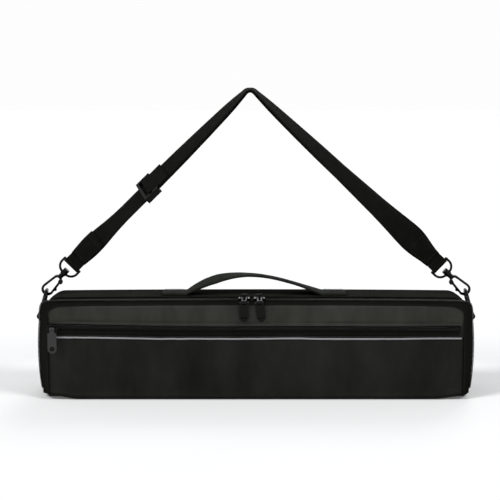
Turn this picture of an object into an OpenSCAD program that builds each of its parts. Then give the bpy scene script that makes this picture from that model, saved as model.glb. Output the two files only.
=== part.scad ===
// Padded carrying case for a flute in its hard case, with a two-way zip, a front pocket,
// a carrying handle and a shoulder strap on swivel hooks. Closed, standing on its bottom.
// X runs along the case, the front faces -Y, Z points up; the origin is bottom centre.

/* [Case body] */
// Length of the case from end to end
case_w = 432; // [400:1:470]
// Depth of the case from front to back
case_d = 70; // [66:1:90]
// Height of the case
case_h = 100; // [96:1:120]
// Radius of the two top corners
corner_r = 16; // [12:1:22]
// Thickness of the outer nylon panels
skin_t = 1; // [0.8:0.1:1.4]
// Thickness of the foam padding
foam_t = 4; // [3:0.5:6]
// Thickness of the lining fabric
lining_t = 0.6; // [0.4:0.1:1]
// Free height between the lid's parts and the bottom panel at the lid's fold
fold_gap = 0.3; // [0.3:0.1:1]
// Distance from the lid padding to the edge of the lid
pad_margin = 6; // [4:1:12]

/* [Main zip] */
// Distance of the zip line behind the front face
zip_inset = 15; // [14:1:17]
// Width of tape that shows on each side of the zip line
tape_show = 16; // [14:1:20]
// Thickness of the zip tapes
tape_t = 0.8; // [0.5:0.1:1]
// Width of tape sewn under the gusset edge
tape_seam = 6; // [4:1:10]
// Width of one half of the zip coil
coil_w = 2.2; // [1.8:0.1:2.6]
// Height of the zip coil above its tape
coil_t = 1.6; // [1.2:0.1:2]
// Gap between the two coil halves, where the slider's post runs
coil_gap = 1.2; // [1:0.1:1.6]
// Height of the zip's lower ends above the bottom panel
zip_end_z = 6; // [5:1:12]
// Height of the end stops
stop_h = 3; // [2:0.5:4]

/* [Zip sliders] */
// Length of a slider along the zip
slider_l = 11; // [10:0.5:13]
// Width of a slider across the zip
slider_w = 9; // [8:0.5:10]
// Thickness of the slider's plates
plate_t = 1.3; // [1:0.1:1.6]
// Room above the coil in the sliders
slider_lift = 0.3; // [0.2:0.1:0.6]
// Room between a main slider's back plate and the tape, so that a tape can leave sideways
main_back_gap = 1; // [1:0.1:1.4]
// Room between the pocket slider's back plate and the tape
pocket_back_gap = 0.4; // [0.3:0.1:0.6]
// Thickness of the slider's post
post_t = 0.8; // [0.6:0.1:0.9]
// Radius of the pivot bars that carry the links and pulls
bar_r = 0.9; // [0.7:0.1:1]
// Radial clearance of an eye on its pivot bar
eye_clear = 0.08; // [0.05:0.01:0.1]
// Wall of an eye round its pivot bar
eye_wall = 0.9; // [0.7:0.1:1.1]
// Width of a link along the zip
link_w = 5; // [4:0.5:5.5]
// Thickness of links and pulls
pull_t = 1.6; // [1.2:0.1:1.8]
// Height of the main pull's pivot below the link's own pivot
link_drop = 3.4; // [3:0.1:3.8]
// Length of a main pull below its pivot
main_pull_l = 20; // [16:1:22]
// Width of the pulls
pull_w = 9; // [8:0.5:9.5]
// Tilt of the right main pull to one side, in degrees
right_pull_tilt = 7; // [0:1:8]
// Length of the pocket pull below its pivot
pocket_pull_l = 25; // [20:1:30]
// Place of the left main slider
left_slider_x = -12; // [-30:0.5:-12]
// Place of the right main slider
right_slider_x = 3.5; // [3.5:0.5:30]

/* [Pocket] */
// Distance of the pocket's zip line below the top of the case
pocket_zip_drop = 26; // [22:1:34]
// Height of the gap that shows the pocket's zip
pocket_window_h = 11; // [10:0.5:13]
// Share of the window above the zip line
window_above = 3.2; // [3.2:0.1:4]
// Room inside the empty pocket, between its zip tape and its back wall
pocket_room = 1.6; // [1.5:0.1:3]
// Thickness of the pocket's back wall
pocket_wall_t = 0.6; // [0.4:0.1:1]
// Radius of the reflective piping
piping_r = 1.2; // [0.8:0.1:1.6]
// Distance of the piping below the pocket's upper edge
piping_drop = 2.2; // [2:0.1:4]
// Distance of the pocket slider from the case's end
pocket_slider_inset = 11; // [10:0.5:20]

/* [Handle and strap] */
// Width of the webbing
web_w = 25; // [20:1:30]
// Thickness of one layer of webbing
web_t = 1.5; // [1.2:0.1:1.8]
// Space between two layers of webbing
layer_gap = 0.3; // [0.3:0.1:0.6]
// Place of the handle's middle along the case
handle_x = -2; // [-10:1:10]
// Place of the handle's centre line in depth
handle_y = 10; // [10:0.5:14]
// Length of each sewn end of the handle
patch_l = 26; // [20:1:34]
// Distance from the handle's middle to where its sewn ends stop
handle_half = 68; // [60:1:80]
// Half the length of the part of the handle that swings
grip_half = 34.5; // [32:0.5:46]
// Height of the handle's arch above the case
handle_rise = 18; // [16:1:24]
// Twist of the handle, forwards near its left end and backwards beyond its middle, in degrees
handle_twist = 8; // [0:1:12]
// Gap between the handle's swinging part and its ends
grip_gap = 0.4; // [0.3:0.1:0.8]
// Height of the strap's apex above the top of the case
strap_rise = 212; // [190:1:240]
// Place of the strap's apex along the case
strap_top_x = -6; // [-12:1:6]
// Radius of the strap's bend at its apex
strap_bend_r = 7; // [6:1:16]
// Distance from the left eye to the adjuster along the strap
adjuster_at = 112; // [100:1:124]

/* [Rings and hooks] */
// Depth position of the rings, hooks and strap
ring_y = 12; // [11:0.5:13]
// Radius of the rings' wire
ring_wire_r = 1.75; // [1.5:0.05:1.9]
// Inner width of a ring
ring_inner_w = 25.3; // [25.3:0.1:28]
// Distance from a ring's bar to the top of its arc, centre to centre
ring_reach = 26; // [25:0.5:28]
// Distance of the rings' bars below the top of the case
ring_bar_drop = 21.5; // [20:0.5:23]
// Distance of the rings' bars from the case's ends
ring_stand = 5; // [4.5:0.1:6]
// Lean of the rings over the corners, in degrees
ring_lean = 14; // [10:0.5:15]
// Length of the sewn foot of a ring tab
tab_foot = 17; // [14:1:22]
// Play of a ring's wire in a hook
hook_play = 0.8; // [0.7:0.1:0.9]
// Half the width of the hook's inner window at its wide end
claw_in_r = 4.15; // [4:0.05:4.2]
// Half the width of the hook's inner window at its narrow end
claw_top_r = 2.4; // [2.2:0.1:2.6]
// Length of the hook's inner window
claw_in_l = 20.5; // [20:0.5:23]
// Width of the hook's limbs
claw_limb = 2.4; // [2.2:0.1:2.6]
// Easing of the window's edge near the hook's two faces, so a tilting ring clears it
claw_relief = 0.5; // [0.4:0.05:0.7]
// Thickness of the hook's body
claw_t = 4; // [3.6:0.1:4.4]
// Distance from the window to the eye's boss
neck_l = 5.5; // [5:0.5:7]
// Radius of the swivel post
post_r = 1.8; // [1.5:0.1:1.9]
// Radial clearance of a turning post or pin in its hole
pin_clear = 0.08; // [0.05:0.01:0.1]
// Radius of the eye's wire
eye_wire_r = 1.25; // [1.1:0.05:1.4]
// Inner width of the eye
eye_inner_w = 18; // [17:0.5:20]
// Distance from the eye's boss to its bar
eye_h = 12.2; // [12:0.2:14]
// Radius of the gate's pin
gate_pin_r = 0.9; // [0.7:0.1:1]
// Thickness of the gate
gate_t = 2.2; // [1.8:0.1:2.4]
// Gap round the gate
gate_gap = 0.3; // [0.2:0.1:0.4]

/* [Hidden] */
$fn = 48;
eps = 0.01;

// Colours
nylon = [0.10, 0.10, 0.095];
nylon_light = [0.14, 0.14, 0.13];
tape_black = [0.06, 0.06, 0.06];
coil_black = [0.03, 0.03, 0.03];
foam_grey = [0.35, 0.35, 0.36];
lining_grey = [0.22, 0.22, 0.24];
metal_black = [0.05, 0.05, 0.055];
pull_grey = [0.16, 0.16, 0.17];
web_black = [0.07, 0.07, 0.065];
web_grey = [0.16, 0.17, 0.15];
silver = [0.72, 0.72, 0.74];

// Case outline
half_w = case_w / 2;
front_y = -case_d / 2;
back_y = case_d / 2;
zip_y = front_y + zip_inset;
gusset_front_y = zip_y + tape_show;
tape_back_y = gusset_front_y + tape_seam;
back_pad_y = back_y - skin_t - foam_t;
lid_low = skin_t + fold_gap;

// Lid layers, from the front face inwards
tape_out_y = front_y + skin_t;
tape_in_y = tape_out_y + tape_t;
wall_y = tape_in_y + pocket_room;
lid_pad_y = wall_y + pocket_wall_t;
lid_lining_y = lid_pad_y + foam_t;
lid_in_y = lid_lining_y + lining_t;
bottom_pad_y = lid_in_y + fold_gap;

// Pocket
pocket_zip_z = case_h - pocket_zip_drop;
window_top = pocket_zip_z + window_above;
window_low = window_top - pocket_window_h;
tape_tuck = 5;
pocket_half = half_w - skin_t - 4;
piping_z = window_low - piping_drop;
pocket_slider_x = -(half_w - pocket_slider_inset);

// Slider and pull
slider_top = coil_t + plate_t;
eye_r = bar_r + eye_clear + eye_wall;
bail_side = link_w / 2 + 0.3;
bail_wall = 1.1;
bail_gap = 0.2;
main_tape_z = case_h - skin_t;
main_bar_z = main_tape_z + slider_top + slider_lift + bail_gap + eye_r;
pull_face_gap = 0.5;
link_rim = 1.3;
link_end = eye_r + 1.72;
main_pull_y = front_y - pull_face_gap - eye_r;
main_pull_z = main_bar_z - link_drop;
left_link_x = left_slider_x;
right_link_x = right_slider_x;

// Handle
web2_t = 2 * web_t;
handle_axis_z = case_h + web_t;
handle_lift = 0.4;
handle_steps = 28;

// Rings and hooks
ring_bar_z = case_h - ring_bar_drop;
strap_top_z = case_h + strap_rise;
ring_bar_x = half_w + ring_stand;
ring_arc_r = ring_inner_w / 2 + ring_wire_r;
contact_x = ring_bar_x - ring_reach * sin(ring_lean);
contact_z = ring_bar_z + ring_reach * cos(ring_lean);
claw_low = -(ring_wire_r + hook_play);
claw_z = claw_low + claw_in_r;
claw_top_z = claw_low + claw_in_l - claw_top_r;
neck_z = claw_low + claw_in_l + claw_limb;
boss_low_z = neck_z + neck_l - claw_limb;
boss_h = 3.6;
boss_r = 3.4;
knob_r = 3.2;
knob_h = 3;
run_gap = 0.2;
eye_low_z = boss_low_z + boss_h / 2;
bar_z = eye_low_z + eye_h;
gate_x = claw_top_r + claw_limb / 2 + 0.35;
gate_pin_z = claw_top_z + 0.5;
gate_tip_z = ring_wire_r + hook_play + 0.25;

// Strap path: from the left eye's bar over the apex to the right eye's bar
strap_end_w = eye_inner_w - 0.4;
left_rise = atan2(strap_top_z - contact_z, strap_top_x + contact_x);
right_rise = atan2(strap_top_z - contact_z, contact_x - strap_top_x);
left_leg = norm([strap_top_z - contact_z, strap_top_x + contact_x]) - bar_z;
right_leg = norm([strap_top_z - contact_z, contact_x - strap_top_x]) - bar_z;
bend_half = (left_rise + right_rise) / 2;
bend_cut = strap_bend_r * tan(bend_half);
loop_l = 9;
fold_l = 38;
fold_steps = 10;
lower_steps = 8;
upper_steps = 34;
right_steps = 44;
bend_steps = 8;
// Twist of the strap from edge-on at the apex (0) to facing forward at the hooks (90)
left_twist = [[0, 0], [0.1, 14], [0.25, 22], [0.4, 28], [0.5, 30], [0.74, 30], [0.84, 44],
    [0.92, 68], [0.97, 90], [1, 90]];
right_twist = [[0, 0], [0.1, 12], [0.25, 21], [0.4, 30], [0.55, 36], [0.7, 43], [0.8, 57],
    [0.9, 78], [0.97, 90], [1, 90]];
left_width = [[0, web_w], [0.86, web_w], [0.97, strap_end_w], [1, strap_end_w]];

// ---------- shared shapes ----------

// Upright outline with two rounded top corners, in the XZ plane
module arch(half, low, high, r) {
    translate([-half, low]) square([2 * half, high - low - r]);
    translate([-half + r, low]) square([2 * (half - r), high - low]);
    for (s = [-1, 1]) translate([s * (half - r), high - r]) circle(r);
}

// Band of thickness t that follows the arch over the top and down both ends
module arch_band(half, low, high, r, t) {
    difference() {
        arch(half, low, high, r);
        translate([0, low - 1]) arch(half - t, 0, high - t - low + 1, r - t);
    }
}

// Solid between two depths from an outline in the XZ plane
module between(y0, y1) {
    translate([0, y1, 0]) rotate([90, 0, 0]) linear_extrude(y1 - y0) children();
}

module block(x0, x1, y0, y1, z0, z1) {
    translate([x0, y0, z0]) cube([x1 - x0, y1 - y0, z1 - z0]);
}

// Cylinder along X, centred on its length
module rod_x(r, l) {
    rotate([0, 90, 0]) cylinder(r = r, h = l, center = true);
}

// Cylinder along Y, centred on its length
module rod_y(r, l) {
    rotate([90, 0, 0]) cylinder(r = r, h = l, center = true);
}

// Two circles on the Y axis joined by their tangents
module tapered_oval(r1, z1, r2, z2) {
    lean = asin((r1 - r2) / (z2 - z1));
    translate([0, z1]) circle(r1);
    translate([0, z2]) circle(r2);
    polygon([
        [r1 * cos(lean), z1 + r1 * sin(lean)], [r2 * cos(lean), z2 + r2 * sin(lean)],
        [-r2 * cos(lean), z2 + r2 * sin(lean)], [-r1 * cos(lean), z1 + r1 * sin(lean)]
    ]);
}

// Flat band through stations [centre, width direction, thickness direction, width]
module ribbon(stations, low, high) {
    n = len(stations);
    points = [for (s = stations, c = [[-1, low], [1, low], [1, high], [-1, high]])
        s[0] + s[1] * c[0] * s[3] / 2 + s[2] * c[1]];
    // Both broad faces are split along the same diagonal, so that stacked layers stay apart
    sides = [for (i = [0:n - 2], k = [0:3]) let (a = 4 * i + k, b = 4 * i + (k + 1) % 4)
        each (k == 2 ? [[a, a + 4, b], [b, a + 4, b + 4]] : [[a, b + 4, b], [a, a + 4, b + 4]])];
    caps = [[0, 1, 2], [0, 2, 3],
        [4 * n - 4, 4 * n - 2, 4 * n - 3], [4 * n - 4, 4 * n - 1, 4 * n - 2]];
    polyhedron(points, concat(sides, caps));
}

// ---------- case ----------

module back_panel() {
    color(nylon) between(back_y - skin_t, back_y) arch(half_w, 0, case_h, corner_r);
}

module case_gusset() {
    color(nylon) between(gusset_front_y, back_y - skin_t)
        arch_band(half_w, skin_t, case_h, corner_r, skin_t);
}

module bottom_panel() {
    color(nylon) block(-half_w, half_w, front_y, back_y - skin_t, 0, skin_t);
}

module back_pad() {
    color(foam_grey) between(back_pad_y, back_y - skin_t)
        arch(half_w - skin_t, skin_t, case_h - skin_t, corner_r - skin_t);
}

module bottom_pad() {
    side = half_w - skin_t - foam_t;
    color(foam_grey) block(-side, side, bottom_pad_y, back_pad_y, skin_t, skin_t + foam_t);
}

module gusset_pad() {
    color(foam_grey) between(tape_back_y, back_pad_y)
        arch_band(half_w - skin_t, skin_t, case_h - skin_t, corner_r - skin_t, foam_t);
}

module case_lining() {
    out = skin_t + foam_t;
    in = out + lining_t;
    color(lining_grey) {
        difference() {
            between(tape_back_y, back_pad_y)
                arch(half_w - out, out, case_h - out, corner_r - out);
            between(tape_back_y - 1, back_pad_y - lining_t)
                arch(half_w - in, in, case_h - in, corner_r - in);
        }
        block(-half_w + out, half_w - out, bottom_pad_y, tape_back_y + 1, out, in);
    }
}

// ---------- lid ----------

// Outline of the lid, set in from the lid's edge
module lid_outline(inset, low) {
    arch(half_w - skin_t - inset, low, case_h - skin_t - inset,
        corner_r - skin_t - inset);
}

module upper_front_panel() {
    color(nylon_light) between(front_y, front_y + skin_t) intersection() {
        lid_outline(0, lid_low);
        translate([-half_w, window_top]) square([case_w, case_h]);
    }
}

module pocket_panel() {
    side = half_w - skin_t;
    color(nylon) {
        block(-side, side, front_y, front_y + skin_t, lid_low, window_low);
        for (s = [-1, 1])
            block(min(s * side, s * pocket_half), max(s * side, s * pocket_half),
                front_y, front_y + skin_t, window_low, window_top);
    }
}

module pocket_back_wall() {
    color(lining_grey) between(wall_y, lid_pad_y) lid_outline(tape_t, lid_low);
}

module lid_pad() {
    color(foam_grey) between(lid_pad_y, lid_lining_y)
        lid_outline(tape_t + pad_margin, lid_low + pad_margin);
}

module lid_lining() {
    color(lining_grey) between(lid_lining_y, lid_in_y) lid_outline(tape_t, lid_low);
}

// ---------- main zip ----------

module zip_tape(y0, y1, low) {
    color(tape_black) between(y0, y1)
        arch_band(half_w - skin_t, low, case_h - skin_t, corner_r - skin_t, tape_t);
}

module zip_coil(y0, low) {
    out = coil_t - skin_t;
    color(coil_black) between(y0, y0 + coil_w)
        arch_band(half_w + out, low, case_h + out, corner_r + out, coil_t);
}

module zip_stops(y0, low) {
    out = half_w - skin_t;
    color(metal_black) for (s = [-1, 1])
        translate([s * (out + coil_t / 2) - coil_t / 2, y0, low])
            cube([coil_t, coil_w, stop_h]);
}

case_coil_y = zip_y + coil_gap / 2;
lid_coil_y = zip_y - coil_gap / 2 - coil_w;
coil_low = skin_t + zip_end_z;

module case_zip_tape() { zip_tape(case_coil_y, tape_back_y, skin_t); }
module lid_zip_tape() { zip_tape(tape_out_y, zip_y - coil_gap / 2, lid_low); }
module case_zip_coil() { zip_coil(case_coil_y, coil_low); }
module lid_zip_coil() { zip_coil(lid_coil_y, coil_low); }
module case_zip_stops() { zip_stops(case_coil_y, coil_low - stop_h); }
module lid_zip_stops() { zip_stops(lid_coil_y, coil_low - stop_h); }

// ---------- sliders and pulls ----------

// Outline of a slider's plate: wide nose, narrower tail towards +X
module plate_outline() {
    nose = slider_w / 2;
    tail = slider_w * 0.42;
    round_r = 1.5;
    polygon([
        [-slider_l / 2, -nose + round_r], [-slider_l / 2 + round_r, -nose],
        [0, -nose], [slider_l / 2 - round_r, -tail], [slider_l / 2, -tail + round_r],
        [slider_l / 2, tail - round_r], [slider_l / 2 - round_r, tail], [0, nose],
        [-slider_l / 2 + round_r, nose], [-slider_l / 2, nose - round_r]
    ]);
}

// Slider in its own frame: it runs along X on a tape whose outer face is z = 0
module slider(back_gap) {
    top = coil_t + slider_lift;
    bottom = -tape_t - back_gap;
    bar = top + plate_t + bail_gap + eye_r;
    color(metal_black) {
        translate([0, 0, top]) linear_extrude(plate_t) plate_outline();
        translate([0, 0, bottom - plate_t * 0.7]) linear_extrude(plate_t * 0.7) plate_outline();
        translate([-slider_l / 2 + 1, -post_t / 2, bottom - eps])
            cube([4, post_t, top - bottom + 2 * eps]);
        translate([0, 0, bar]) rod_x(bar_r, 2 * (bail_side + bail_wall));
        for (s = [-1, 1]) translate([s * (bail_side + bail_wall / 2), 0, 0]) {
            translate([-bail_wall / 2, -1.4, top + plate_t - eps])
                cube([bail_wall, 2.8, bar - top - plate_t + eps]);
            translate([0, 0, bar]) rod_x(1.4, bail_wall);
        }
    }
}

module at_main_slider(x, turn) {
    translate([x, zip_y, main_tape_z]) rotate([0, 0, turn]) children();
}

module left_slider() { at_main_slider(left_slider_x, 180) slider(main_back_gap); }
module right_slider() { at_main_slider(right_slider_x, 0) slider(main_back_gap); }

module pull_link(x) {
    run = zip_y - main_pull_y;
    slope = atan2(link_drop, run);
    length = norm([run, link_drop]);
    color(metal_black) translate([x, zip_y, main_bar_z]) rotate([slope, 0, 0])
        difference() {
            union() {
                rod_x(eye_r, link_w);
                translate([0, -length, 0]) rod_x(eye_r, link_w);
                translate([-link_w / 2, -length, -pull_t / 2]) cube([link_w, length, pull_t]);
            }
            rod_x(bar_r + eye_clear, link_w + 1);
            translate([0, -length, 0]) rod_x(bar_r + eye_clear, link_w + 1);
            translate([-link_w / 2 + link_rim, -length + link_end, -pull_t])
                cube([link_w - 2 * link_rim, length - 2 * link_end, 2 * pull_t]);
        }
}

module left_pull_link() { pull_link(left_link_x); }
module right_pull_link() { pull_link(right_link_x); }

// Flat pull with two ears and a pivot bar, hanging from z = 0 in the XZ plane
module eared_pull(l, tilt) {
    w = pull_w / 2;
    ear = link_w / 2 + 0.35;
    color(metal_black) {
        rod_x(bar_r, 2 * ear + 1);
        for (s = [-1, 1]) translate([s * (ear + 0.5), 0, 0]) rod_x(pull_t / 2 + 0.2, 1);
        rotate([0, tilt, 0]) difference() {
            rotate([90, 0, 0]) translate([0, 0, -pull_t / 2]) linear_extrude(pull_t)
                difference() {
                    union() {
                        translate([-w, -l + w]) square([2 * w, l - w]);
                        translate([0, -l + w]) circle(w);
                    }
                    translate([-w + 1.6, -l + w - 1]) square([2 * w - 3.2, 2.4]);
                }
            translate([-ear, -pull_t, -eye_r - 0.5])
                cube([2 * ear, 2 * pull_t, 2 * eye_r + 1]);
        }
    }
}

module left_pull() {
    translate([left_link_x, main_pull_y, main_pull_z]) eared_pull(main_pull_l, 0);
}

module right_pull() {
    translate([right_link_x, main_pull_y, main_pull_z])
        eared_pull(main_pull_l, -right_pull_tilt);
}

module at_pocket_slider() {
    translate([pocket_slider_x, tape_out_y, pocket_zip_z]) rotate([90, 0, 0]) children();
}

pocket_bar_y = tape_out_y - slider_top - slider_lift - bail_gap - eye_r;

module pocket_slider() { at_pocket_slider() slider(pocket_back_gap); }

module pocket_pull() {
    w = pull_w / 2;
    color(pull_grey) translate([pocket_slider_x, pocket_bar_y, pocket_zip_z]) difference() {
        union() {
            rod_x(eye_r, link_w);
            translate([-link_w / 2, -pull_t / 2, -5]) cube([link_w, pull_t, 5]);
            rotate([90, 0, 0]) translate([0, 0, -pull_t / 2]) linear_extrude(pull_t) {
                translate([-w, -pocket_pull_l + w]) square([2 * w, pocket_pull_l - w - 4]);
                translate([0, -pocket_pull_l + w]) circle(w);
            }
        }
        rod_x(bar_r + eye_clear, link_w + 1);
        translate([0, 0, -pocket_pull_l + w]) rod_y(2.6, 2 * pull_t);
    }
}

// ---------- pocket zip ----------

module pocket_tape(z0, z1) {
    color(tape_black)
        block(-pocket_half - 3, pocket_half + 3, tape_out_y, tape_in_y, z0, z1);
}

module pocket_coil(z0) {
    color(coil_black)
        block(-pocket_half, pocket_half, tape_out_y - coil_t, tape_out_y, z0, z0 + coil_w);
}

module pocket_tape_upper() {
    pocket_tape(pocket_zip_z + coil_gap / 2, window_top + tape_tuck);
}
module pocket_tape_lower() {
    pocket_tape(window_low - tape_tuck, pocket_zip_z - coil_gap / 2);
}
module pocket_coil_upper() { pocket_coil(pocket_zip_z + coil_gap / 2); }
module pocket_coil_lower() { pocket_coil(pocket_zip_z - coil_gap / 2 - coil_w); }

module pocket_piping() {
    color(silver) intersection() {
        translate([0, front_y - 0.2, piping_z]) rod_x(piping_r, 2 * pocket_half);
        block(-half_w, half_w, front_y - piping_r - 1, front_y, 0, case_h);
    }
}

// ---------- handle ----------

// Centre height of the handle's webbing at x, above the case
function handle_s(x) = max(0, min(1, (x - handle_x + handle_half) / (2 * handle_half)));
function handle_z(x) = let (s = handle_s(x))
    case_h + web_t + handle_lift + handle_rise * sin(180 * pow(s, 0.85));
function handle_turn(x) = let (s = handle_s(x))
    handle_twist * lookup(s, [[0, 0], [0.12, 0.9], [0.22, 1], [0.45, -0.7], [0.6, -1],
        [0.85, -0.9], [1, 0]]);
function handle_station(x) = let (turn = handle_turn(x))
    [[x, handle_y, handle_z(x)], [0, cos(turn), sin(turn)], [0, -sin(turn), cos(turn)], web_w];

module handle_run(x0, x1, steps) {
    ribbon([for (i = [0:steps]) handle_station(x0 + (x1 - x0) * i / steps)],
        -web_t, web_t);
}

module handle_grip() {
    color(web_grey) handle_run(handle_x - grip_half + grip_gap,
        handle_x + grip_half - grip_gap, handle_steps);
}

// Sewn foot of the handle with the stretch of webbing that rises from it
module handle_end(side) {
    foot = handle_x + side * handle_half;
    color(web_grey) {
        block(min(foot, foot + side * patch_l), max(foot, foot + side * patch_l),
            handle_y - web_w / 2, handle_y + web_w / 2, case_h, case_h + web2_t);
        if (side < 0) handle_run(foot - 0.5, handle_x - grip_half, 12);
        else handle_run(handle_x + grip_half, foot + 0.5, 12);
    }
}

module left_handle_end() { handle_end(-1); }
module right_handle_end() { handle_end(1); }

// ---------- rings on the ends ----------

// Everything at the ends is drawn on the left and mirrored for the right
module at_side(side) {
    if (side < 0) children();
    else mirror([1, 0, 0]) children();
}

module ring_tab(side) {
    hole = ring_wire_r + pin_clear;
    out = hole + web_t;
    color(web_black) at_side(side) between(ring_y - web_w / 2 + 0.4, ring_y + web_w / 2 - 0.4)
        difference() {
            union() {
                translate([-ring_bar_x, ring_bar_z]) circle(out);
                polygon([
                    [-ring_bar_x, ring_bar_z],
                    [-ring_bar_x - out + 0.5, ring_bar_z - 0.6],
                    [-half_w - 2 * web_t, ring_bar_z - tab_foot * 0.5],
                    [-half_w - 2 * web_t, ring_bar_z - tab_foot],
                    [-half_w, ring_bar_z - tab_foot], [-half_w, ring_bar_z - 1]
                ]);
            }
            translate([-ring_bar_x, ring_bar_z]) circle(hole);
        }
}

module left_ring_tab() { ring_tab(-1); }
module right_ring_tab() { ring_tab(1); }

// D-ring with its bar along Y and its arc leaning inwards over the corner
module d_ring(side) {
    straight = ring_reach - ring_arc_r;
    color(metal_black) at_side(side) translate([-ring_bar_x, ring_y, ring_bar_z])
        rotate([0, ring_lean, 0]) {
            rod_y(ring_wire_r, 2 * ring_arc_r);
            for (s = [-1, 1]) {
                translate([0, s * ring_arc_r, 0]) cylinder(r = ring_wire_r, h = straight);
                translate([0, s * ring_arc_r, 0]) sphere(ring_wire_r);
            }
            translate([0, 0, straight]) rotate([90, 0, 90]) rotate_extrude(angle = 180)
                translate([ring_arc_r, 0]) circle(ring_wire_r, $fn = 32);
        }
}

module left_d_ring() { d_ring(-1); }
module right_d_ring() { d_ring(1); }

// ---------- hooks ----------

// Hook frame: origin where the ring's wire passes, Z along the hook towards the strap
module at_hook(side) {
    at_side(side) translate([-contact_x, ring_y, contact_z])
        rotate([0, 90 - (side < 0 ? left_rise : right_rise), 0]) children();
}

module claw_band(clear) {
    difference() {
        tapered_oval(claw_in_r + claw_limb, claw_z, claw_top_r + claw_limb, claw_top_z);
        tapered_oval(claw_in_r, claw_z, claw_top_r, claw_top_z);
    }
}

// Part of the hook's outline that belongs to the gate
module gate_region(grow) {
    polygon([
        [claw_top_r - 2.0, gate_tip_z - grow], [claw_in_r + claw_limb + 3, gate_tip_z - grow],
        [claw_in_r + claw_limb + 3, gate_pin_z], [claw_top_r - 2.0, gate_pin_z]
    ]);
    translate([gate_x, gate_pin_z]) circle(2.1 + grow);
}

module claw_plate(t) {
    between(-t / 2, t / 2) children();
}

module hook_claw(side) {
    ear_t = (claw_t - gate_t) / 2 - gate_gap / 2;
    color(metal_black) at_hook(side) difference() {
        union() {
            difference() {
                claw_plate(claw_t) claw_band();
                claw_plate(claw_t + 1) gate_region(gate_gap);
                for (s = [-1, 1]) translate([0, s * claw_t * 3 / 4, 0]) claw_plate(claw_t)
                    tapered_oval(claw_in_r + claw_relief, claw_z, claw_top_r, claw_top_z);
            }
            for (s = [-1, 1]) translate([gate_x, s * (claw_t - ear_t) / 2, gate_pin_z])
                rod_y(2.4, ear_t);
            translate([0, 0, neck_z - claw_limb]) cylinder(r = 2.6, h = boss_low_z - run_gap
                - neck_z + claw_limb);
            translate([0, 0, neck_z]) cylinder(r = post_r, h = boss_low_z + boss_h - neck_z + 1);
            translate([0, 0, boss_low_z + boss_h + run_gap]) cylinder(r = knob_r, h = knob_h);
        }
        translate([gate_x, 0, gate_pin_z]) rod_y(gate_pin_r, claw_t + 1);
        translate([gate_x, 0, gate_pin_z]) rod_y(2.1 + gate_gap, gate_t + gate_gap);
    }
}

module left_hook_claw() { hook_claw(-1); }
module right_hook_claw() { hook_claw(1); }

module hook_gate(side) {
    color(metal_black) at_hook(side) difference() {
        union() {
            claw_plate(gate_t) intersection() {
                claw_band();
                gate_region(0);
            }
            translate([gate_x, 0, gate_pin_z]) rod_y(2.1, gate_t);
            claw_plate(gate_t) translate([claw_in_r + claw_limb - 0.8, claw_z + 5]) circle(1.6);
        }
        translate([gate_x, 0, gate_pin_z]) rod_y(gate_pin_r + pin_clear, claw_t);
    }
}

module left_hook_gate() { hook_gate(-1); }
module right_hook_gate() { hook_gate(1); }

module gate_pin(side) {
    color(metal_black) at_hook(side) translate([gate_x, 0, gate_pin_z])
        rod_y(gate_pin_r, claw_t);
}

module left_gate_pin() { gate_pin(-1); }
module right_gate_pin() { gate_pin(1); }

module hook_eye(side) {
    wide = eye_inner_w / 2 + eye_wire_r;
    arc_r = 8.2;
    inner = wide - arc_r;
    color(metal_black) at_hook(side) difference() {
        union() {
            translate([0, 0, boss_low_z]) cylinder(r = boss_r, h = boss_h);
            translate([0, 0, eye_low_z]) rod_x(eye_wire_r, 2 * inner);
            translate([0, 0, bar_z]) rod_x(eye_wire_r, 2 * wide);
            for (s = [-1, 1]) {
                translate([s * wide, 0, eye_low_z + arc_r])
                    cylinder(r = eye_wire_r, h = eye_h - arc_r);
                translate([s * wide, 0, bar_z]) sphere(eye_wire_r, $fn = 32);
                translate([s * inner, 0, eye_low_z + arc_r])
                    rotate([90, s < 0 ? 180 : 90, 0]) rotate_extrude(angle = 90)
                        translate([arc_r, 0]) circle(eye_wire_r, $fn = 24);
            }
        }
        translate([0, 0, boss_low_z - 1]) cylinder(r = post_r + pin_clear, h = boss_h + 2);
    }
}

module left_hook_eye() { hook_eye(-1); }
module right_hook_eye() { hook_eye(1); }

// ---------- strap ----------

// Strap frame on a straight leg: X along the leg upwards, Y outwards in the strap's plane
function leg_along(side) = side < 0 ? [cos(left_rise), 0, sin(left_rise)]
    : [cos(right_rise), 0, -sin(right_rise)];
function station(p, along, twist, width) = let (out = [-along[2], 0, along[0]])
    [p, [0, cos(twist), 0] + out * sin(twist), out * cos(twist) - [0, sin(twist), 0], width];

// Station on a leg; t runs from 0 at the apex to 1 at the eye's bar
function leg_station(side, t) = let (
        length = side < 0 ? left_leg : right_leg,
        along = leg_along(side),
        top = [strap_top_x, ring_y, strap_top_z]
    ) station(top + along * (side * t * length), along,
        lookup(t, side < 0 ? left_twist : right_twist), lookup(t, left_width));

function bend_station(i) = let (
        turn = left_rise + strap_bend_deg(i),
        reach = strap_bend_r / cos(bend_half),
        lean = (left_rise - right_rise) / 2,
        low = strap_top_z - reach * cos(lean),
        mid = strap_top_x + reach * sin(lean)
    ) station([mid, ring_y, low] + strap_bend_r * [-sin(turn), 0, cos(turn)],
        [cos(turn), 0, sin(turn)], bend_twist(i), web_w);
function bend_twist(i) = lookup(i, [[0, lookup(left_t0, left_twist)], [bend_steps / 2, 0],
    [bend_steps, lookup(right_t0, right_twist)]]);
function strap_bend_deg(i) = -(left_rise + right_rise) * i / bend_steps;

left_t0 = bend_cut / left_leg;
right_t0 = bend_cut / right_leg;
left_t1 = 1 - loop_l / left_leg;
right_t1 = 1 - loop_l / right_leg;

fold_end_t = 1 - fold_l / left_leg;
return_end_t = 1 - (adjuster_at + 3.5) / left_leg;
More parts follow.
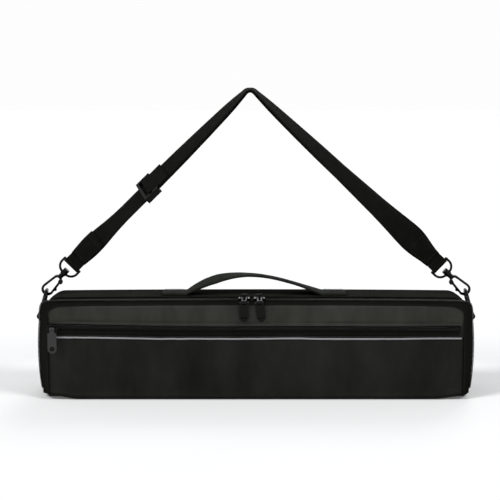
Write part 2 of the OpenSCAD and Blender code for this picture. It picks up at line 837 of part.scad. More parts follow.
// All layers of the left leg share these stations, so that they lie flat on each other
function left_part(a, b, first, steps) = [for (i = [first:steps])
    leg_station(-1, a + (b - a) * i / steps)];
function left_fold_run() = left_part(left_t1, fold_end_t, 0, fold_steps);
function left_lower_run() = left_part(fold_end_t, return_end_t, 1, lower_steps);
function left_upper_run(first) = left_part(return_end_t, left_t0, first, upper_steps);
function right_run() = [for (i = [0:right_steps])
    leg_station(1, right_t0 + (right_t1 - right_t0) * i / right_steps)];
function bend_run() = [for (i = [1:bend_steps - 1]) bend_station(i)];

module strap_main_layer() {
    color(web_black) ribbon(concat(left_fold_run(), left_lower_run(), left_upper_run(1),
        bend_run(), right_run()), -layer_gap / 2 - web_t, -layer_gap / 2);
}

module strap_return_layer() {
    color(web_black) ribbon(concat(left_upper_run(0), bend_run(), right_run()),
        layer_gap / 2, layer_gap / 2 + web_t);
}

module left_strap_fold() {
    color(web_black) ribbon(left_fold_run(), layer_gap / 2, layer_gap / 2 + web_t);
}

// Loop of webbing round an eye's bar, in a frame with X along the leg away from the bar
module loop_profile() {
    in = eye_wire_r + pin_clear;
    out = in + web_t;
    low = layer_gap / 2;
    difference() {
        union() {
            circle(out);
            polygon([[0, -out + 0.1], [loop_l, -low - web_t], [loop_l, low + web_t],
                [0, out - 0.1]]);
        }
        circle(in);
        polygon([[0, -in + 0.1], [loop_l + 1, -low], [loop_l + 1, low], [0, in - 0.1]]);
    }
}

module strap_loop(side) {
    color(web_black) at_hook(side) translate([-strap_end_w / 2, 0, bar_z])
        rotate([0, -90, 180]) rotate([0, 0, 0]) linear_extrude(strap_end_w) loop_profile();
}

module left_strap_loop() { strap_loop(-1); }
module right_strap_loop() { strap_loop(1); }

// Adjuster frame: X up the left leg, Z along the thickness direction of the strap
module at_adjuster() {
    t = 1 - adjuster_at / left_leg;
    s = leg_station(-1, t);
    x = leg_along(-1);
    y = s[1];
    z = s[2];
    multmatrix([[x[0], y[0], z[0], s[0][0]], [x[1], y[1], z[1], s[0][1]],
        [x[2], y[2], z[2], s[0][2]], [0, 0, 0, 1]]) children();
}

adjuster_l = 18;
adjuster_rail = 2.4;
adjuster_bar_r = 1;
adjuster_bar_n = layer_gap / 2 + web_t + adjuster_bar_r + 0.15;
slide_gap = 0.3;

module strap_adjuster() {
    in = web_w / 2 + 0.5;
    low = -layer_gap / 2 - web_t - slide_gap;
    color(metal_black) at_adjuster() {
        for (s = [-1, 1]) translate([-adjuster_l / 2, s > 0 ? in : -in - adjuster_rail, low - 1.6])
            cube([adjuster_l, adjuster_rail, 1.6 - low + adjuster_bar_n + adjuster_bar_r]);
        translate([0, 0, adjuster_bar_n]) rod_y(adjuster_bar_r, 2 * in + 0.2);
        translate([-adjuster_l / 2, -in - 0.1, adjuster_bar_n - adjuster_bar_r])
            cube([3, 2 * in + 0.2, 2 * adjuster_bar_r]);
        translate([adjuster_l / 2 - 3, -in - 0.1, low - 1.6]) cube([3, 2 * in + 0.2, 1.6]);
    }
}

// Sewn end of the strap that holds the adjuster's middle bar
module adjuster_loop() {
    in = adjuster_bar_r + pin_clear;
    out = in + web_t;
    flat = 24;
    turn = 4.6;
    join = 6;
    low = layer_gap / 2 + web_t + slide_gap;
    color(web_black) at_adjuster() translate([0, 0, 0]) rotate([90, 0, 0])
        translate([0, 0, -web_w / 2]) linear_extrude(web_w) difference() {
            union() {
                translate([0, adjuster_bar_n]) circle(out);
                polygon([[-0.5, adjuster_bar_n], [turn, low], [flat, low], [flat, low + web_t],
                    [join, low + web_t], [-0.5, adjuster_bar_n + out - 0.2]]);
            }
            translate([0, adjuster_bar_n]) circle(in);
        }
}

back_panel();
case_gusset();
bottom_panel();
back_pad();
bottom_pad();
gusset_pad();
case_lining();
case_zip_tape();
case_zip_coil();
case_zip_stops();
upper_front_panel();
pocket_panel();
pocket_back_wall();
lid_pad();
lid_lining();
lid_zip_tape();
lid_zip_coil();
lid_zip_stops();
left_slider();
right_slider();
left_pull_link();
right_pull_link();
left_pull();
right_pull();
pocket_tape_upper();
pocket_tape_lower();
pocket_coil_upper();
pocket_coil_lower();
pocket_slider();
pocket_pull();
pocket_piping();
handle_grip();
left_handle_end();
right_handle_end();
left_ring_tab();
right_ring_tab();
left_d_ring();
right_d_ring();
left_hook_claw();
right_hook_claw();
left_hook_gate();
right_hook_gate();
left_gate_pin();
right_gate_pin();
left_hook_eye();
right_hook_eye();
left_strap_loop();
right_strap_loop();
left_strap_fold();
strap_main_layer();
strap_return_layer();
strap_adjuster();
adjuster_loop();
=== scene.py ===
"""Looks of the padded flute case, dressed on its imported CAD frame.

Lengths in the code are millimetres, unless a name or a docstring says otherwise.
"""

import math

import bmesh
import bpy
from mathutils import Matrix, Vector, noise


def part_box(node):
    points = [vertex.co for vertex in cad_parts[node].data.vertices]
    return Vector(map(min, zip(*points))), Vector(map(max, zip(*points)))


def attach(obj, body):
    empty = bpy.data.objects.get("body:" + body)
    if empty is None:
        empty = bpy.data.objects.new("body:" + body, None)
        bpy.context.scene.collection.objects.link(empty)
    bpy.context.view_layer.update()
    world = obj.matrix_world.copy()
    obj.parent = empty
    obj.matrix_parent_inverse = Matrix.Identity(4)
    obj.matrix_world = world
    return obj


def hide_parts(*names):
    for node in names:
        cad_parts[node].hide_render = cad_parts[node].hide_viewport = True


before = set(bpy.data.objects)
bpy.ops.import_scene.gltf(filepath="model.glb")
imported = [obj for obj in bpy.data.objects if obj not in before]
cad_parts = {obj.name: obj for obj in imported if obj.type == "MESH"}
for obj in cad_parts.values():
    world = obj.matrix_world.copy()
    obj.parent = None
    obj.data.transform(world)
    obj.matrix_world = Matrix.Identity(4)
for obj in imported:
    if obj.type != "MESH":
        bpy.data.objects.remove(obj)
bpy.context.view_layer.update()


bl_info = {
    "name": "Flute case looks",
    "version": (1, 0, 0),
    "blender": (4, 5, 0),
    "location": "3D View > Sidebar > Case",
    "description": "Builds the cloth, zips, webbing and finishes of a padded flute case",
    "category": "Object",
}

MM = 0.001
TAU = 2 * math.pi

# Case: half its length, height, radius of the top corners, depth of its faces and of the zip
HALF, TOP, R = 216.0, 100.0, 16.0
FRONT, BACK, ZIP = -35.0, 35.0, -20.0
BACK_INSET = 0.8
LID_INSET = 1.2
LID_SIDE = HALF - LID_INSET

# Thickness of the cloth, of the tapes, and how far the tape's face lies below the outline
CLOTH_T = 0.9
TAPE_T = 0.6
TAPE_SINK = 1.0

# Zip coil: wire radius, points a turn, pitch, half width across, half height, ends' margin
COIL_WIRE = 0.36
COIL_POINTS = 8
COIL_PITCH = 1.35
COIL_REACH = 1.35
COIL_RISE = 0.62
COIL_MARGIN = 6

# Pitch, dash and thread radius of the seams in cloth and of the tighter ones in webbing
SEAM = (3.2, 2.3, 0.26)
TACK = (2.6, 1.9, 0.22)

# Webbing: width, thickness, gap between two layers, share of the thickness lost at its edges
WEB_W, WEB_T, LAYER = 25.0, 1.5, 0.3
WEB_EDGE = 0.5

# Handle: place, half length, rise and twist in degrees along it
HANDLE_X, HANDLE_Y, HANDLE_HALF, HANDLE_RISE, HANDLE_TWIST = -2.0, 10.0, 68.0, 18.0, 8.0
TWIST_ALONG = [(0, 0), (0.12, 0.9), (0.22, 1), (0.45, -0.7), (0.6, -1), (0.85, -0.9), (1, 0)]

# Ring: its bar's place, lean in degrees and reach; and the strap's run from there to its apex
RING_X, RING_Y, RING_Z = 221, 12.0, 78.5
RING_LEAN, RING_REACH = 14, 26
APEX_X, APEX_Z, APEX_R = -6, 312, 7.0
HOOK_L = 37.45
STRAP_END_W = 17.6
LOOP_L, FOLD_L, RETURN_END = 9, 38, 112 + 3.5
LEFT_TWIST = [(0, 0), (0.1, 14), (0.25, 22), (0.4, 28), (0.5, 30), (0.74, 30), (0.84, 44),
              (0.92, 68), (0.97, 90), (1, 90)]
RIGHT_TWIST = [(0, 0), (0.1, 12), (0.25, 21), (0.4, 30), (0.55, 36), (0.7, 43), (0.8, 57),
               (0.9, 78), (0.97, 90), (1, 90)]


def at(node):
    """Box of a CAD node in millimetres."""
    low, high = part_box(node)
    return low / MM, high / MM


WINDOW_TOP = at("upper_front_panel")[0].z
WINDOW_LOW = at("pocket_piping")[0].z + 3.4
POCKET_ZIP = (at("pocket_coil_upper")[0].z + at("pocket_coil_lower")[1].z) / 2


# ---------- shaping ----------


def smooth(a, b, x):
    """0 at a, 1 at b and an eased step between them; a may be the larger one."""
    t = max(0.0, min(1.0, (x - a) / (b - a)))
    return t * t * (3 - 2 * t)


def lump(x, y, z, size, amount, seed=0.0):
    """Soft noise from -amount to amount."""
    return amount * noise.noise(Vector((x / size + seed, y / size, z / size - seed)))


def soft(p):
    """Slackens a point of the CAD form as cloth over foam.

    The faces draw in towards the ends, the top is crowned, and the lower corners lift.
    """
    x, y, z = p
    side = abs(x) / HALF
    w = smooth(0.62, 1.0, side)
    if y < ZIP:
        inset = 5.0 * min(1.0, (ZIP - y) / 15) ** 1.25
    else:
        inset = 3.0 * (max(0.0, y - 5) / 30) ** 2
    height = max(0.0, min(1.0, z / 100))
    bulge = 0.3 + 4.6 * smooth(-3, -14, y) * (1 - smooth(-22, -35, y))
    inset -= bulge * math.sin(math.pi * height) ** 0.6
    x -= math.copysign(1, x) * inset * w
    corner = 3.5 * smooth(201, 215, abs(x)) * smooth(82, 97, z) * smooth(-5, -13, y)
    x += math.copysign(corner, x)
    z += corner
    high = smooth(30, 100, z)
    z += high * (0.35 - 1.2 * side * side)
    z -= high * 0.9 * max(0.0, (abs(y) - 18) / 17) ** 2
    if z < 45:
        lift = (4.6 if x < 0 else 3.2) * smooth(0.84, 1.0, side)
        z += lift * (1 - z / 45) ** 1.5 * smooth(6, 35, abs(y))
    return Vector((x, y, z))


def make_mesh(name, verts, faces, uvs):
    """Smooth mesh from points in millimetres and one UV pair for each face corner."""
    mesh = bpy.data.meshes.new(name)
    mesh.from_pydata([tuple(c * MM for c in v) for v in verts], [], faces)
    layer = mesh.uv_layers.new(name="UVMap")
    for k, pair in enumerate(uvs):
        layer.data[k].uv = pair
    mesh.polygons.foreach_set("use_smooth", [True] * len(mesh.polygons))
    mesh.update()
    return mesh


def running(points):
    """Length along points so far, in centimetres."""
    out = [0.0]
    for a, b in zip(points, points[1:]):
        out.append(out[-1] + (Vector(b) - Vector(a)).length / 10)
    return out


def grid(name, rows, closed_u=False, closed_v=False, uv=None, flip=False):
    """Mesh from rows of points, with a UV map in centimetres along and across."""
    nv, nu = len(rows), len(rows[0])
    faces, loops = [], []
    ends_u = nu if closed_u else nu - 1
    ends_v = nv if closed_v else nv - 1
    if uv is None:
        across = running([rows[j % nv][nu // 2] for j in range(nv + 1)])
        along = running([rows[nv // 2][i % nu] for i in range(nu + 1)])

        def uv(i, j):
            return along[i], across[j]

    for j in range(ends_v):
        for i in range(ends_u):
            i2, j2 = (i + 1) % nu, (j + 1) % nv
            corners = [(i, j, i, j), (i2, j, i + 1, j), (i2, j2, i + 1, j + 1), (i, j2, i, j + 1)]
            if flip:
                corners.reverse()
            faces.append([c[1] * nu + c[0] for c in corners])
            loops.extend(uv(c[2], c[3]) for c in corners)
    return make_mesh(name, [pt for row in rows for pt in row], faces, loops)


def join(name, parts):
    """One mesh from several (verts, faces, uvs) lists in millimetres."""
    verts, faces, uvs = [], [], []
    for v, f, u in parts:
        base = len(verts)
        verts.extend(v)
        faces.extend([[i + base for i in face] for face in f])
        uvs.extend(u)
    return make_mesh(name, verts, faces, uvs)


def tube(points, radius, sides=6, closed=False, normal=None):
    """Round cord through points as (verts, faces, uvs); radius may be a function of the step."""
    n = len(points)
    verts, faces, uvs = [], [], []
    run = 0.0
    for i, p in enumerate(points):
        a = points[(i - 1) % n] if closed or i else p
        b = points[(i + 1) % n] if closed or i < n - 1 else p
        t = (Vector(b) - Vector(a)).normalized()
        up = Vector(normal or ((0, 0, 1) if abs(t.z) < 0.9 else (0, 1, 0)))
        s = t.cross(up).normalized()
        u = s.cross(t)
        r = radius(i) if callable(radius) else radius
        for k in range(sides):
            c = math.cos(TAU * k / sides) * r
            d = math.sin(TAU * k / sides) * r
            verts.append(Vector(p) + s * c + u * d)
    ends = n if closed else n - 1
    for i in range(ends):
        step = (Vector(points[(i + 1) % n]) - Vector(points[i])).length / 10
        for k in range(sides):
            k2, i2 = (k + 1) % sides, (i + 1) % n
            faces.append([i * sides + k, i * sides + k2, i2 * sides + k2, i2 * sides + k])
            v0, v1 = k / sides, (k + 1) / sides
            uvs.extend([(run, v0), (run, v1), (run + step, v1), (run + step, v0)])
        run += step
    if not closed:
        faces.append(list(range(sides))[::-1])
        faces.append([(n - 1) * sides + k for k in range(sides)])
        uvs.extend([(0, 0)] * (2 * sides))
    return verts, faces, uvs


def resample(points, step):
    """Points at even steps along a line."""
    pts = [Vector(p) for p in points]
    out, left = [pts[0]], step
    for a, b in zip(pts, pts[1:]):
        length = (b - a).length
        while length >= left and length > 1e-9:
            a = a.lerp(b, left / length)
            out.append(a.copy())
            length = (b - a).length
            left = step
        left -= length
    return out


def stitches(points, seam=SEAM):
    """Thread dashes along a line, each thinner at its ends, as one list of parts."""
    pitch, dash, radius = seam
    step = 0.4
    pts = resample(points, step)
    per, run = max(2, int(pitch / step)), max(2, int(dash / step))
    parts = []
    for i in range(0, len(pts) - run, per):
        ends = [pts[i], pts[i + run // 2], pts[i + run]]
        parts.append(tube(ends, lambda k: radius * (0.55 if k != 1 else 1.0), 5))
    return parts


def arch(off=0.0, low=0.0, step=6.0, corner=9):
    """Outline up the left end, over the top and down the right end.

    Each point is (x, z, outward x, outward z).
    """
    half, top, r = HALF + off, TOP + off, R + off
    flat, rise = HALF - R, TOP - R
    out = []

    def round_corner(x, start):
        """Quarter turn about x from an angle."""
        for i in range(corner):
            a = start - math.pi / 2 * i / corner
            out.append((x + r * math.cos(a), rise + r * math.sin(a), math.cos(a), math.sin(a)))

    n = max(2, int((rise - low) / step))
    out += [(-half, low + (rise - low) * i / n, -1.0, 0.0) for i in range(n)]
    round_corner(-flat, math.pi)
    m = int(2 * flat / step)
    out += [(-flat + 2 * flat * i / m, top, 0.0, 1.0) for i in range(m)]
    round_corner(flat, math.pi / 2)
    out += [(half, rise - (rise - low) * i / n, 1.0, 0.0) for i in range(n + 1)]
    return out


def band(name, profile, low, step, rough, seed):
    """Closed cloth band swept over the arch; profile lists (depth, height above the outline)."""
    path = arch(0, low, step)
    rows = []
    for y, off in profile:
        row = []
        for x, z, nx, nz in path:
            d = off + lump(x, y * 1.5, z, 22, rough, seed)
            row.append(soft((x + nx * d, y, z + nz * d)))
        rows.append(row)
    return grid(name, rows, closed_v=True)


# ---------- pieces ----------


def piece(name, shape, material, body, *nodes, slot=None, thick=0.0):
    """Adds a mesh or a list of parts as a piece that rides on a body and stands for nodes."""
    mesh = join(name, shape) if isinstance(shape, list) else shape
    obj = bpy.data.objects.new(name, mesh)
    bpy.context.scene.collection.objects.link(obj)
    mesh.materials.append(material)
    if thick:
        mod = obj.modifiers.new("Thickness", "SOLIDIFY")
        mod.thickness = thick * MM
        mod.offset = -1.0
    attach(obj, body)
    if nodes:
        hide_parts(*nodes)
    return obj


def show(node, material, bevel=0.0, segments=2):
    """Finishes a CAD node that is shown as it is."""
    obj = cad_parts[node]
    obj.data.materials.clear()
    obj.data.materials.append(material)
    if bevel:
        mod = obj.modifiers.new("Edges", "BEVEL")
        mod.width = bevel * MM
        mod.segments = segments
        mod.limit_method = "ANGLE"
        mod.angle_limit = math.radians(35)
    return obj


# ---------- materials ----------


def new_material(name):
    """A new material with its node tree and its Principled BSDF."""
    m = bpy.data.materials.new(name)
    m.use_nodes = True
    nt = m.node_tree
    b = nt.nodes["Principled BSDF"]
    return m, nt, b


def put(node, **values):
    """Sets a node's inputs by name, with _ for a space."""
    for name, value in values.items():
        node.inputs[name.replace("_", " ")].default_value = value


def add(nt, kind, **values):
    """A new node with its inputs set."""
    node = nt.nodes.new(kind)
    put(node, **values)
    return node


def larger(nt, a, b):
    """The larger of two sockets' values."""
    node = nt.nodes.new("ShaderNodeMath")
    node.operation = "MAXIMUM"
    nt.links.new(a, node.inputs[0])
    nt.links.new(b, node.inputs[1])
    return node.outputs[0]


def bump_into(nt, bsdf, height, strength, distance, before=None):
    """Puts a bump from height on the BSDF, on top of an earlier bump if one is given."""
    b = add(nt, "ShaderNodeBump", Strength=strength, Distance=distance)
    nt.links.new(height, b.inputs["Height"])
    if before is not None:
        nt.links.new(before.outputs["Normal"], b.inputs["Normal"])
    nt.links.new(b.outputs["Normal"], bsdf.inputs["Normal"])
    return b


def uv_node(nt, scale):
    """UV coordinates times a scale."""
    c = nt.nodes.new("ShaderNodeTexCoord")
    m = add(nt, "ShaderNodeMapping", Scale=scale)
    nt.links.new(c.outputs["UV"], m.inputs["Vector"])
    return m


def wave(nt, mapping, direction, scale, distortion=0.0):
    """Bands of a wave along one direction of a mapping."""
    w = add(nt, "ShaderNodeTexWave", Scale=scale, Distortion=distortion)
    w.wave_type = "BANDS"
    w.bands_direction = direction
    nt.links.new(mapping.outputs["Vector"], w.inputs["Vector"])
    return w


def weave(nt, scale):
    """Height of a plain weave: threads over and under each other, from two waves."""
    m = uv_node(nt, (scale, scale, 1))
    outs = [wave(nt, m, direction, 1.0) for direction in ("X", "Y")]
    return larger(nt, outs[0].outputs["Fac"], outs[1].outputs["Fac"])


def tinted(nt, bsdf, color, uneven, scale, stretch=1.0):
    """Base colour with uneven dye from noise; with a large spread, as on the nylon and the strip,
    the same noise also paints sheen patches, which are painted light.
    """
    c = nt.nodes.new("ShaderNodeTexCoord")
    n = add(nt, "ShaderNodeTexNoise", Scale=scale, Detail=5.0, Roughness=0.6)
    flat = add(nt, "ShaderNodeMapping", Scale=(1, 1, stretch))
    nt.links.new(c.outputs["Object"], flat.inputs["Vector"])
    nt.links.new(flat.outputs["Vector"], n.inputs["Vector"])
    ramp = nt.nodes.new("ShaderNodeValToRGB")
    for stop, place, gain in zip(ramp.color_ramp.elements, (0.3, 0.7), (1 - uneven, 1 + uneven)):
        stop.position = place
        stop.color = (*[v * gain for v in color[:3]], 1)
    nt.links.new(n.outputs["Fac"], ramp.inputs["Fac"])
    nt.links.new(ramp.outputs["Color"], bsdf.inputs["Base Color"])


def cloth(name, color, rough, threads, strength, sheen=0.0, uneven=0.2, spec=0.15):
    """Woven cloth; threads sets how fine the weave is and strength how much it shows."""
    m, nt, b = new_material(name)
    put(b, Roughness=rough, Sheen_Weight=sheen, Sheen_Roughness=0.4, Specular_IOR_Level=spec)
    tinted(nt, b, color, uneven, 22.0, 0.45)
    crinkle = add(nt, "ShaderNodeTexNoise", Scale=95.0, Detail=3.0)
    c = nt.nodes.new("ShaderNodeTexCoord")
    nt.links.new(c.outputs["Object"], crinkle.inputs["Vector"])
    first = bump_into(nt, b, crinkle.outputs["Fac"], 0.25, 0.0012)
    bump_into(nt, b, weave(nt, threads), strength, 0.00025, first)
    return m


def webbing(name, color):
    """Ribbed webbing: fine ribs across and cords along."""
    m, nt, b = new_material(name)
    put(b, Roughness=0.7, Specular_IOR_Level=0.02)
    tinted(nt, b, color, 0.22, 120.0)
    mp = uv_node(nt, (1, 1, 1))
    ribs = wave(nt, mp, "X", 2.6, 0.25)
    cords = wave(nt, mp, "Y", 3.4)
    mul = nt.nodes.new("ShaderNodeMath")
    mul.operation = "MULTIPLY_ADD"
    mul.inputs[1].default_value = 0.6
    nt.links.new(cords.outputs["Fac"], mul.inputs[0])
    nt.links.new(ribs.outputs["Fac"], mul.inputs[2])
    bump_into(nt, b, mul.outputs[0], 0.55, 0.0006)
    return m


def metal(name, color, rough, metallic=1.0, grain=0.02):
    """Lacquered metal whose polish varies a little."""
    m, nt, b = new_material(name)
    put(b, Base_Color=(*color, 1), Metallic=metallic)
    c = nt.nodes.new("ShaderNodeTexCoord")
    n = add(nt, "ShaderNodeTexNoise", Scale=450.0, Detail=4.0)
    nt.links.new(c.outputs["Object"], n.inputs["Vector"])
    r = add(nt, "ShaderNodeMapRange", To_Min=rough * 0.8, To_Max=rough * 1.25)
    nt.links.new(n.outputs["Fac"], r.inputs["Value"])
    nt.links.new(r.outputs["Result"], b.inputs["Roughness"])
    bump_into(nt, b, n.outputs["Fac"], grain, 0.0002)
    return m


def plastic(name, color, rough, spec=0.2):
    """Plain plastic for coils and thread."""
    m, _, b = new_material(name)
    put(b, Base_Color=(*color, 1), Roughness=rough, Specular_IOR_Level=spec)
    return m


MATS = {}


def shade(color, gain, tint=(1, 1, 1)):
    """A colour made lighter or darker."""
    return [gain * v * t for v, t in zip(color, tint)]


def make_materials(p):
    """Fills MATS from the colours in the case's properties."""
    cloth_color = p.cloth_color
    MATS.update(
        # Nylon: uneven dye whose noise is spread to 0.5 so that it also paints sheen patches on the
        # front and back faces
        nylon=cloth("Nylon", shade(cloth_color, 1.5), 0.36, 9.0, 0.3, uneven=0.5, spec=0.05),
        # Gusset: the same nylon with no gloss and a lighter base, painted light so that the top and
        # ends read lighter than the front
        gusset=cloth("Nylon_Gusset_Painted_Light", shade(cloth_color, 2.3), 0.6, 9.0, 0.3, spec=0.0),
        # Strip: the same nylon painted lighter and warmer, painted light for the strip's lit face;
        # its dye noise also paints sheen patches
        strip=cloth("Nylon_Strip_Painted_Light", shade(cloth_color, 4.1, (1, 1, 0.94)), 0.4, 9.0, 0.3,
                    uneven=0.4, spec=0.06),
        tape=cloth("Zip_Tape", (0.0105, 0.0108, 0.009), 0.8, 7.0, 0.8, spec=0.0),
        binding=cloth("Binding", shade(cloth_color, 1.7), 0.75, 8.0, 0.7, spec=0.0),
        coil=plastic("Zip_Coil", (0.004, 0.004, 0.0036), 0.35, 0.3),
        lining=cloth("Lining", (0.02, 0.02, 0.022), 0.65, 8.0, 0.3, sheen=0.1),
        metal=metal("Black_Metal", (0.011, 0.011, 0.0105), 0.14),
        pull=metal("Matte_Pull", (0.0085, 0.0085, 0.0078), 0.45, 0.0, 0.05),
        silver=cloth("Piping", p.piping_color, 0.38, 10.0, 0.3, sheen=0.2, uneven=0.08),
        web=webbing("Strap_Webbing", p.strap_color),
        handle=webbing("Handle_Webbing", p.handle_color),
        thread=plastic("Thread", (0.012, 0.012, 0.011), 0.6))


# ---------- case ----------


def panel_rows(xs, z_of, vs, y_of):
    """Rows of a panel seen from the front: x stations, height from (x, v), depth from (x, z, v)."""
    rows = []
    for v in vs:
        row = []
        for x in xs:
            z = z_of(x, v)
            row.append(soft((x, y_of(x, z, v), z)))
        rows.append(row)
    return rows


def spread(a, b, n, ends=0.0):
    """Numbers from a to b, closer together near both ends."""
    out = []
    for i in range(n + 1):
        t = i / n
        t = (1 - ends) * t + ends * (0.5 - 0.5 * math.cos(math.pi * t))
        out.append(a + (b - a) * t)
    return out


def arch_top(x, inset):
    """Height of the arch outline over x."""
    r = R - inset
    d = abs(x) - (HALF - R)
    if d <= 0:
        return TOP - inset
    return TOP - R + math.sqrt(max(0.0, r * r - min(d, r) ** 2))


def wrinkle(x, z, amount):
    """Upright folds of slack cloth, stronger near the ends."""
    near_end = smooth(120, 205, abs(x))
    folds = lump(x, 0, z * 0.22, 13, 1.0, 3.1) * (0.35 + 0.9 * near_end)
    broad = lump(x, 0, z * 0.6, 46, 1.0, 7.7)
    diag = lump(x + 0.6 * z, 0, z * 0.35, 20, 1.0, 11.3) * near_end
    return amount * (0.5 * folds + 0.8 * broad + 0.6 * diag)


class CaseProperties(bpy.types.PropertyGroup):
    """Colours and slackness of the case's cloth and webbing"""

    cloth_color: bpy.props.FloatVectorProperty(
        name="Cloth", description="Colour of the nylon", subtype="COLOR",
        default=(0.0084, 0.0085, 0.0076))
    piping_color: bpy.props.FloatVectorProperty(
        name="Piping", description="Colour of the reflective piping", subtype="COLOR",
        default=(0.3, 0.3, 0.31))
    puff: bpy.props.FloatProperty(
        name="Puff", description="How far the faces bulge", subtype="DISTANCE", unit="LENGTH",
        default=0.0018)
    folds: bpy.props.FloatProperty(
        name="Folds", description="Depth of the cloth's folds", subtype="DISTANCE", unit="LENGTH",
        default=0.0038)
    strap_color: bpy.props.FloatVectorProperty(
        name="Strap", description="Colour of the strap's webbing", subtype="COLOR",
        default=(0.0062, 0.0064, 0.0053))
    handle_color: bpy.props.FloatVectorProperty(
        name="Handle", description="Colour of the handle's webbing", subtype="COLOR",
        default=(0.017, 0.0185, 0.0145))


class StageProperties(bpy.types.PropertyGroup):
    """Colour of the ground and level of the light"""

    floor_color: bpy.props.FloatVectorProperty(
        name="Floor", description="Colour of the floor and backdrop", subtype="COLOR",
        default=(0.94, 0.94, 0.942))
    light: bpy.props.FloatProperty(
        name="Light", description="Strength of the lamps against their usual level", default=1.0,
        min=0.0)


def sag(x):
    """How far the pocket's edges run up over x, most at the left end."""
    ends = 3.2 * smooth(-60, -214, x) + 0.7 * smooth(120, 214, x)
    return ends + lump(x, 0, 0, 55, 0.7, 5)


def zip_sag(x):
    """The same for the pocket's zip, which has less slack, so that its slider runs straight."""
    return 2.24 * smooth(-60, -214, x) + 0.4 * (x / HALF) ** 2


def plane_uv(mesh):
    """Projects a front-facing panel's UV map straight from X and Z."""
    layer = mesh.uv_layers[0]
    for loop in mesh.loops:
        co = mesh.vertices[loop.vertex_index].co
        layer.data[loop.index].uv = (co.x * 100, co.z * 100)


def welt(name, inset, y, low, radius, body, slot):
    """Cord of binding sewn round a face of the case."""
    ring = [(x - nx * inset, y, z - nz * inset) for x, z, nx, nz in arch(0, low, 5.0)]
    ring += [(HALF - inset - (2 * HALF - 2 * inset) * i / 60, y, low) for i in range(1, 60)]
    cord = tube([soft(q) for q in ring], radius, 8, True, (0, 1, 0))
    piece(name, [cord], MATS["binding"], body, slot=slot)


class CASE_OT_body(bpy.types.Operator):
    """Builds the gusset, back, bottom and seams of the case"""

    bl_idname = "flute_case.body"
    bl_label = "Case body"

    def execute(self, context):
        p = context.scene.flute_case
        make_materials(p)
        puff = p.puff / MM
        y0 = at("case_gusset")[0].y
        prof = [(y0 + 1.5, -0.9), (y0 - 0.1, -0.6), (y0 - 0.5, -0.1), (y0 - 0.1, 0.35),
                (y0 + 1.2, 0.4), (y0 + 2.2, 0.05), (y0 + 3.4, 0.1), (y0 + 6, 0.1), (4, 0.1),
                (10, 0.1), (16, 0.1), (22, 0.1), (27, 0.05), (31, 0.0), (33.2, -0.3),
                (34.4, -1.0), (33.4, -1.8), (30, -0.9), (16, -0.2), (4, -0.4)]
        mesh = band("Shell_Gusset", prof, 0.4, 4.0, 0.16, 2.0)
        piece("Shell_Gusset", mesh, MATS["gusset"], "case", "case_gusset", slot="nylon_panel")

        side = HALF - BACK_INSET

        def back_z(x, v):
            """Height of the back panel."""
            return BACK_INSET + (arch_top(x, BACK_INSET) - BACK_INSET) * v

        def back_y(x, z, v):
            """Its depth: puffed out in the middle and rolled in at the edge."""
            f = max(abs(x) / side, abs(2 * v - 1))
            slack = wrinkle(x, z, p.folds / MM * 0.35) * (1 - f ** 6)
            return BACK - 0.4 + puff * 0.7 * (1 - f ** 3) + slack - 1.2 * smooth(0.93, 1.0, f)

        rows = panel_rows(spread(-side, side, 130, 0.35), back_z, spread(0, 1, 36, 0.35), back_y)
        mesh = grid("Shell_Back", rows, flip=True)
        plane_uv(mesh)
        piece("Shell_Back", mesh, MATS["nylon"], "case", "back_panel", slot="nylon_panel",
              thick=CLOTH_T)

        rows = []
        for y in spread(FRONT + 0.8, BACK - 0.8, 16, 0.5):
            rows.append([])
            for x in spread(-HALF + 1.0, HALF - 1.0, 70, 0.4):
                rim = smooth(0.93, 1, max(abs(x) / HALF, abs(y) / BACK))
                rows[-1].append(soft((x, y, 0.15 + 0.4 * rim)))
        mesh = grid("Shell_Bottom", rows, flip=True)
        piece("Shell_Bottom", mesh, MATS["nylon"], "case", "bottom_panel", slot="nylon_panel",
              thick=CLOTH_T)

        welt("Shell_Back_Welt", 0.7, BACK - 0.5, 1.0, 1.15, "case", "nylon_panel")

        parts = []
        for y, off in ((y0 + 2.2, 0.1), (30.6, 0.1)):
            parts += stitches([soft((x + nx * off, y, z + nz * off))
                               for x, z, nx, nz in arch(0, 4, 4.0)])
        piece("Shell_Stitches", parts, MATS["thread"], "case")
        return {"FINISHED"}


